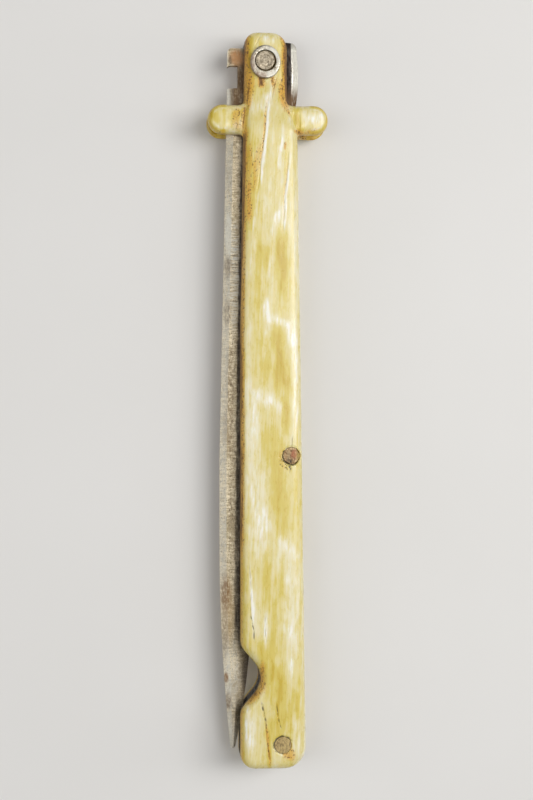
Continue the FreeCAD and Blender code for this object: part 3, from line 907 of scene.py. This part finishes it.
def ridges(low, high):
    """Mask of the ridges that grinding left on the blade's flat, or of the hollows if low is above high."""
    def mask(paint):
        marks = paint.ramp(paint.noise(ridge_waves, 71.0, 2.0), low, high)
        place = paint.spot((ridge_x, ridge_y, pivot.z), (ridge_reach_x, ridge_reach_y, through))
        return paint.product(marks, place)
    return mask


# Spots in millimetres: colour, share, speckle share, place, and reach in X and Y
flat_spots = [
    # painted highlight on the spine facet
    (highlight_silver, 0.7, 0.2, (-6.9, 29.5), (0.8, 5.5)),
    (bark, 0.5, 0.7, (-7.0, 23.6), (0.9, 2.8)),
    (bark, 0.45, 0.8, (-7.1, 15.4), (0.9, 3.2)),
]
shoulder_spots = [
    (bark, 0.9, 0.3, (-4.6, 54.0), (3.2, 9)),
    # painted highlight on the spine's rim by the shoulder
    (highlight_silver, 0.9, 0.3, (-7.1, 53.0), (0.75, 4.4)),
    # painted shade across the blade's flat in the finger notch, darkest at the edge
    (umber, 0.85, 0.0, (-2.9, -49.0), (2.6, 6)),
]
pivot_spots = [(bark, 0.8, 0.5, (0, 0), (6, 7))]
edge_spots = [
    (copper, 0.9, 0.3, (-5.4, 60.9), (1.9, 2.0)),
    (umber, 0.55, 0.4, (-6.6, 60.4), (0.5, 1.2)),
    # painted highlight on the tooth's bevelled left rim
    (highlight_silver, 0.6, 0.3, (-7.4, 61.2), (0.65, 3)),
    # painted light on the blade's flat in the finger notch, towards the spine
    (highlight_silver, 0.35, 0.6, (-6.2, -49.0), (2.0, 9)),
    # painted highlight at the tip
    (highlight_silver, 0.6, 0.3, (-6.6, -60.0), (1.6, 5)),
    (tan, 0.5, 0.5, (-7.0, -38.0), (1.6, 8.0)),
    (rusty_brown, 0.7, 0.7, (-7.4, -34.5), (1.3, 4.6)),
    (bark, 0.4, 0.9, (-7.6, -42.0), (0.9, 6.0)),
    (bark, 0.3, 0.8, (-6.8, -4.5), (1.4, 7.0)),
    (rusty_brown, 0.9, 0.4, (-7.3, -49.4), (0.6, 1.3)),
    (bark, 0.7, 0.7, (-6.9, -53.6), (0.8, 2.2)),
    (bark, 0.33, 0.9, (-6.6, 3.0), (1.0, 9)),
    (bark, 0.15, 0.9, (-6.4, -14.0), (0.9, 12)),
]
blade_patches = [
    # painted shade in the hollows between grinding ridges
    (ash, 0.6, 0.3, ridges(0.5, 0.36)),
    # painted highlight on the spine facet
    (highlight_silver, 0.5, 0.5, spine_facet_highlight),
    # painted highlights on the grinding ridges
    (highlight_silver, 1.0, 0.2, ridges(0.46, 0.62)),
    *spots(flat_spots),
    # painted shadow of the handle's edge, which is also a dirt line when open
    (umber, 0.95, 0.2, handle_edge_shadow_and_dirt),
    *spots(shoulder_spots),
    *spots(pivot_spots, pivot),
    *spots(edge_spots),
]
blade_steel = worn_metal("blade_steel", blade_patches)
liner_steel = worn_metal("liner_steel")


# Back spring's steel

strip_edge = 4.25 * mm
strip_low = 50 * mm
strip_blur = 0.12 * mm


def inner_strip_shade_and_dirt(paint):
    """The strip of the spring's head along the handle: painted shade beside the handle's edge, and dirt."""
    beside = paint.ramp(paint.along("X"), strip_edge + strip_blur, strip_edge - strip_blur)
    return paint.product(beside, paint.ramp(paint.along("Y"), strip_low, strip_low + strip_edge))


def outer_facet_highlight(paint):
    """The spring's filed facets, which lean towards +X, given a painted highlight."""
    return paint.ramp(paint.lean(), 0.3, 0.4)


# Spots in millimetres, as for the blade
spring_spots = [(bark, 1.0, 0.3, (5.0, 51.4), (4.0, 5.4))]
spring_patches = [
    # painted highlight on the outer facets
    (highlight_silver, 0.75, 0.3, outer_facet_highlight),
    # painted shade and dirt beside the handle's edge
    (umber, 1.0, 0.12, inner_strip_shade_and_dirt),
    *spots(spring_spots),
]
spring_steel = worn_metal("spring_steel", spring_patches)


# Rosettes, pin and rivets

# Spots in millimetres, with places from the middle of the piece
rosette_spots = [
    # painted highlight at the rosette's upper right
    (highlight_silver, 0.9, 0.5, (1.5, 1.4), (1.7, 2.2)),
    # painted highlight at the rosette's lower right
    (highlight_silver, 0.8, 0.6, (1.2, -2.4), (1.8, 1.1)),
    (mauve, 0.8, 0.6, (-2.4, -0.4), (1.2, 2.6)),
    (mauve, 0.8, 0.6, (-1.0, -2.6), (1.6, 0.9)),
]
middle_rivet_spots = [
    (copper_red, 0.9, 0.5, (0.4, 0.2), (0.9, 1.3)),
    (tan, 0.45, 0.8, (-0.7, 0.5), (0.9, 1.1)),
    (umber, 0.5, 0.9, (-0.2, -0.6), (1.3, 0.8)),
    (olive, 0.9, 0.2, (1.5, -0.1), (1.0, 2.0)),
]
rosette_steel = worn_metal("rosette_steel", spots(rosette_spots, pivot))
pin_steel = worn_metal("pin_steel", ring_centre=pivot)
copper_iron = worn_metal("middle_rivet_iron", spots(middle_rivet_spots, middle_rivet))
tan_iron = worn_metal("butt_rivet_iron")

blade_bevel = 0.07 * mm
liner_bevel = 0.05 * mm
bevel_angle = math.radians(25)


def dress_node(node, material, bevel):
    """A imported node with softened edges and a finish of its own."""
    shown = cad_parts[node]
    shown.data.materials.clear()
    shown.data.materials.append(material)
    soften = shown.modifiers.new("soft_edges", "BEVEL")
    soften.width = bevel
    soften.segments = 2
    soften.limit_method = "ANGLE"
    soften.angle_limit = bevel_angle
    soften.harden_normals = True


dress_node("blade", blade_steel, blade_bevel)
dress_node("front_liner", liner_steel, liner_bevel)
dress_node("rear_liner", liner_steel, liner_bevel)

# Wear of the small metal pieces: mesh size, wavelength and depth of the dents, and gaps round the heads
small_voxel = 0.07 * mm
rosette_wave = 1.3 * mm
rosette_dent = 0.07 * mm
pin_wave = 0.6 * mm
pin_dent = 0.07 * mm
pin_end_run = 0.9 * mm
pin_flare_run = 0.3 * mm
pin_flare_share = 0.07
pin_end_shrink_share = 0.02
pin_end_shift = (-0.08 * mm, 0.04 * mm)
rivet_wave = 0.5 * mm
rivet_dent = 0.06 * mm
rivet_gap_waves = (1.1 * mm, 1.1 * mm, 4 * mm)
middle_rivet_gap = 0.25 * mm
butt_rivet_gap = 0.04 * mm


def worn_copy(node, rounds, wave, depth, seed):
    """Mesh of a small metal piece, its edges rounded and its faces hammered, kept to its node's box."""
    mesh = remeshed_copy(node, small_voxel)
    points = points_of(mesh)
    points = relaxed(points, edges_of(mesh), np.full(len(points), 0.5), rounds)
    set_points(mesh, points)
    hollow = depth * (1 + wander(points, (wave, wave, wave), seed)) / 2
    points = points - normals_of(mesh) * hollow[:, None]
    low, high = [np.array(corner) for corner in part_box(node)]
    share = (points - points.min(0)) / (points.max(0) - points.min(0))
    set_points(mesh, low + share * (high - low))
    return mesh


def rosette_piece(node, seed):
    mesh = worn_copy(node, 3, rosette_wave, rosette_dent, seed)
    finish_piece(node + "_filed", mesh, rosette_steel, "rosette_steel", "handle", node)


def pin_piece():
    """Pivot pin whose hammered ends spread almost to the rosettes' holes and lean to one side in them."""
    mesh = worn_copy("pivot_pin", 1, pin_wave, pin_dent, 4)
    points = points_of(mesh)
    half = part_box("pivot_pin")[1].z - pivot.z
    height = np.abs(points[:, 2] - pivot.z)
    end = smooth_step(height, half - pin_end_run, half - pin_end_run / 2)[:, None]
    flare = smooth_step(height, half - pin_flare_run, half)[:, None]
    axis = np.array(pivot)[:2]
    spread = 1 - pin_end_shrink_share * end + pin_flare_share * flare
    points[:, :2] = axis + (points[:, :2] - axis) * spread + np.array(pin_end_shift) * end
    set_points(mesh, points)
    finish_piece("pivot_pin_hammered", mesh, pin_steel, "pin_steel", "handle", "pivot_pin")


def rivet_piece(node, gap, material, seed):
    """Rivet with heads that don't quite fill their holes."""
    mesh = worn_copy(node, 1, rivet_wave, rivet_dent, seed)
    points = points_of(mesh)
    axis = np.array(middle_of(node))[:2]
    arm = points[:, :2] - axis
    uneven = wander(points, rivet_gap_waves, seed + 70)
    points[:, :2] -= arm * (gap / rivet_radius * uneven.clip(0, 1))[:, None]
    set_points(mesh, points)
    finish_piece(node + "_worn", mesh, material, "rivet_iron", "handle", node)


rosette_piece("front_rosette", 2)
rosette_piece("rear_rosette", 8)
pin_piece()
rivet_piece("middle_rivet", middle_rivet_gap, copper_iron, 5)
rivet_piece("butt_rivet", butt_rivet_gap, tan_iron, 6)


# Back spring: one leaf in place of its two nodes

leaf_step = 0.4 * mm
leaf_side_depth = 0.25 * mm
leaf_edge_round = 0.22 * mm
leaf_nip_share = 0.4
leaf_smooth_rounds = 60
join_reach = 6 * mm
facet_width = 1.1 * mm
facet_widest_share = 0.7
facet_drop = 0.55 * mm
facet_run = 3 * mm
shank_share = 0.69
cube_size = 1


def leaf_sides():
    """Stations along the leaf with the X of its inner and outer side, read from its two nodes."""
    polygons, points = [], []
    for node in ("back_spring_tail", "back_spring_arm"):
        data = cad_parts[node].data
        polygons += [[len(points) + index for index in face.vertices] for face in data.polygons]
        points += [vertex.co.copy() for vertex in data.vertices]
    tree = BVHTree.FromPolygons(points, polygons)
    z = spring_high.z - leaf_side_depth
    far = cad_box[1].x * 2
    count = round((spring_high.y - spring_low.y) / leaf_step)
    rows = []
    for y in np.linspace(spring_low.y + leaf_step / 4, spring_high.y - leaf_step / 4, count):
        outer = tree.ray_cast(Vector((far, y, z)), Vector((-1, 0, 0)))[0]
        inner = tree.ray_cast(Vector((-far, y, z)), Vector((1, 0, 0)))[0]
        rows.append((y, inner.x, outer.x))
    return np.array(rows)


def smooth_join(rows):
    """Evens out the leaf's sides where its two nodes meet at the middle rivet."""
    near = np.exp(-((rows[1:-1, 0] - middle_rivet.y) / join_reach) ** 2)
    for _ in range(leaf_smooth_rounds):
        for column in (1, 2):
            values = rows[:, column]
            average = (values[:-2] + values[2:]) / 2
            rows[1:-1, column] = values[1:-1] + near * 0.5 * (average - values[1:-1])


def leaf_section(y, inner, outer, facet_share):
    """Section of the leaf: rounded inner corners, and outer ones that widen to filed facets at the head."""
    low, high = spring_low.z, spring_high.z
    wide = leaf_edge_round + (facet_width - leaf_edge_round) * facet_share
    drop = leaf_edge_round + (facet_drop - leaf_edge_round) * facet_share
    wide = min(wide, (outer - inner) * facet_widest_share)
    nip = leaf_edge_round * leaf_nip_share
    upper = [
        (inner, high - leaf_edge_round),
        (inner + nip, high - nip),
        (inner + leaf_edge_round, high),
        (outer - wide - nip, high),
        (outer - wide + nip, high - nip * drop / wide),
        (outer - nip, high - drop + nip * drop / wide),
        (outer, high - drop - nip),
    ]
    middle = (low + high) / 2
    lower = [(x, 2 * middle - z) for x, z in reversed(upper)]
    return [Vector((x, y, z)) for x, z in upper + lower]


def mesh_from(work, name):
    mesh = bpy.data.meshes.new(name)
    work.to_mesh(mesh)
    work.free()
    return mesh


def leaf_body():
    """Mesh of the whole leaf, from section to section, before it is cut."""
    rows = leaf_sides()
    smooth_join(rows)
    guard_high = guard_span()[1]
    facets = smooth_step(rows[:, 0], guard_high - facet_run, guard_high + facet_run)
    work = bmesh.new()
    loops = []
    for (y, inner, outer), share in zip(rows, facets):
        loops.append([work.verts.new(point) for point in leaf_section(y, inner, outer, share)])
    for before, after in zip(loops, loops[1:]):
        for index in range(len(before)):
            following = (index + 1) % len(before)
            work.faces.new((before[index], before[following], after[following], after[index]))
    work.faces.new(list(reversed(loops[0])))
    work.faces.new(loops[-1])
    bmesh.ops.recalc_face_normals(work, faces=work.faces)
    return mesh_from(work, "back_spring_leaf")


def box_cutter(low, high):
    work = bmesh.new()
    bmesh.ops.create_cube(work, size=cube_size)
    for vertex in work.verts:
        shares = [place / cube_size + 0.5 for place in vertex.co]
        vertex.co = Vector([a + (b - a) * share for a, b, share in zip(low, high, shares)])
    return new_object("cutter", mesh_from(work, "cutter"))


def round_cutter(middle, radius, depth):
    work = bmesh.new()
    bmesh.ops.create_cone(work, cap_ends=True, segments=48, radius1=radius, radius2=radius, depth=depth,
                          matrix=Matrix.Translation(middle))
    return new_object("cutter", mesh_from(work, "cutter"))


def leaf_cutters():
    """Cutters for the window, mouth and pocket in the head, read from the arm, and for the rivet holes."""
    arm = points_of(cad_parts["back_spring_arm"].data)
    inside = arm[(arm[:, 2] > spring_low.z + leaf_side_depth) & (arm[:, 2] < spring_high.z - leaf_side_depth)]
    low_z, high_z = inside[:, 2].min(), inside[:, 2].max()
    pocket_radius = inside[inside[:, 1] > pivot.y, 0].min() - pivot.x
    outer = inside[inside[:, 0] > pivot.x + pocket_radius + leaf_edge_round]
    reach = 2 * pocket_radius
    window = box_cutter((pivot.x, outer[:, 1].min(), low_z), (pivot.x + reach, outer[:, 1].max(), high_z))
    mouth = box_cutter((pivot.x, pivot.y, low_z), (pivot.x + pocket_radius, pivot.y + reach, high_z))
    pocket = round_cutter(pivot, pocket_radius, high_z - low_z)
    holes = [round_cutter(rivet, rivet_radius * shank_share, through) for rivet in (middle_rivet, butt_rivet)]
    return [window, mouth, pocket] + holes


def cut_leaf(mesh, cutters):
    """The leaf with its window, mouth, pocket and rivet holes."""
    leaf = new_object("leaf_uncut", mesh)
    for cutter in cutters:
        cut = leaf.modifiers.new("cut", "BOOLEAN")
        cut.object = cutter
        cut.solver = "EXACT"
    made = evaluated_mesh(leaf)
    for cutter in cutters:
        bpy.data.objects.remove(cutter)
    return made


def spring_leaf():
    mesh = cut_leaf(leaf_body(), leaf_cutters())
    leaf = finish_piece("back_spring_leaf", mesh, spring_steel, "spring_steel", None,
                        "back_spring_tail", "back_spring_arm", smooth=False)
    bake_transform(leaf)


spring_leaf()


# Floor, lights and camera

floor_half = 1.5
floor_waves = (40 * mm, 40 * mm, 40 * mm)
floor_mesh = bpy.data.meshes.new("floor")
corners = [(x * floor_half, y * floor_half, 0) for x, y in ((-1, -1), (1, -1), (1, 1), (-1, 1))]
floor_mesh.from_pydata(corners, [], [(0, 1, 2, 3)])
floor_paint = Paint("floor_paint")
mottle = floor_paint.noise(floor_waves, 1.0)
floor_paint.shade(Base_Color=floor_paint.mix(mottle, srgb(226, 224, 220), srgb(232, 230, 227)), Roughness=0.8)
floor_mesh.materials.append(floor_paint.material)
floor = new_object("floor", floor_mesh)

# Softboxes in metres: name, place, width, height and power
softboxes = [
    ("key", (0.28, 0.08, 0.5), 0.25, 0.45, 1.85),
    ("overhead", (-0.05, 0.0, 0.75), 0.7, 0.9, 1.15),
    ("right_strip", (0.42, 0.0, 0.28), 0.12, 0.5, 0.4),
    ("left_fill", (-0.35, 0.0, 0.35), 0.2, 0.5, 0.55),
]


def softbox(name, place, wide, high, power):
    """Rectangular lamp that faces the middle of the floor and isn't seen itself."""
    data = bpy.data.lights.new(name, "AREA")
    data.shape = "RECTANGLE"
    data.size = wide
    data.size_y = high
    data.energy = power
    lamp = bpy.data.objects.new(name, data)
    scene.collection.objects.link(lamp)
    lamp.location = place
    lamp.rotation_euler = (-Vector(place)).to_track_quat("-Z", "Y").to_euler()
    lamp.visible_camera = False


for row in softboxes:
    softbox(*row)

world = bpy.data.worlds.new("studio")
world.use_nodes = True
world.node_tree.nodes["Background"].inputs["Color"].default_value = (1.0, 1.0, 1.0, 1.0)
world.node_tree.nodes["Background"].inputs["Strength"].default_value = 0.15
scene.world = world
scene.view_settings.view_transform = "Standard"

camera_target = (-0.3 * mm, 0, 8 * mm)
camera_distance = 0.26
camera_roll = math.radians(5)
view_height = 0.1413

toward = Vector((-math.sin(camera_roll), 0, math.cos(camera_roll)))
right = Vector((0, 1, 0)).cross(toward).normalized()
up = toward.cross(right)
camera_data = bpy.data.cameras.new("camera")
camera_data.lens = camera_data.sensor_width / view_height * camera_distance
camera = bpy.data.objects.new("camera", camera_data)
scene.collection.objects.link(camera)
camera.location = Vector(camera_target) + toward * camera_distance
camera.rotation_euler = Matrix((right, up, toward)).transposed().to_euler()
scene.camera = camera
